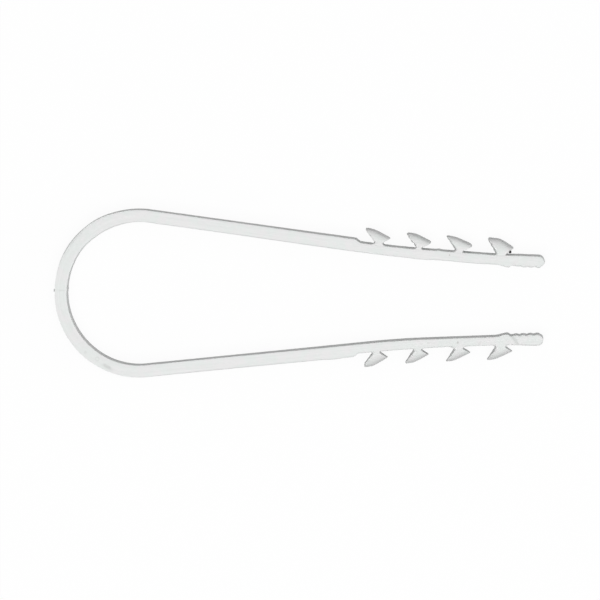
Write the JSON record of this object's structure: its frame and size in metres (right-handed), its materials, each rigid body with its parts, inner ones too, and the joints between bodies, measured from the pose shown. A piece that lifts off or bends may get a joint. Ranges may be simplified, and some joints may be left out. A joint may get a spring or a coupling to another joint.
{
  "type": "dowel clamp",
  "caption": "One-piece sprung plastic dowel clamp: an open loop for a pipe or cable, with converging arms that end in barbed legs for a drilled hole.",
  "frame": {"origin": "centre of the loop, on the pipe's axis at mid depth", "axes": "+X from the loop along the legs to their tips, +Z along the pipe's axis, so the clamp lies on its flat side; mirror plane at y = 0"},
  "size_m": [0.0854, 0.0292, 0.0048],
  "materials": {
    "natural_plastic": "natural white polypropylene, satin as moulded"
  },
  "bodies": {
    "root": {"dowel_clamp": "natural_plastic"}
  },
  "joints": []
}
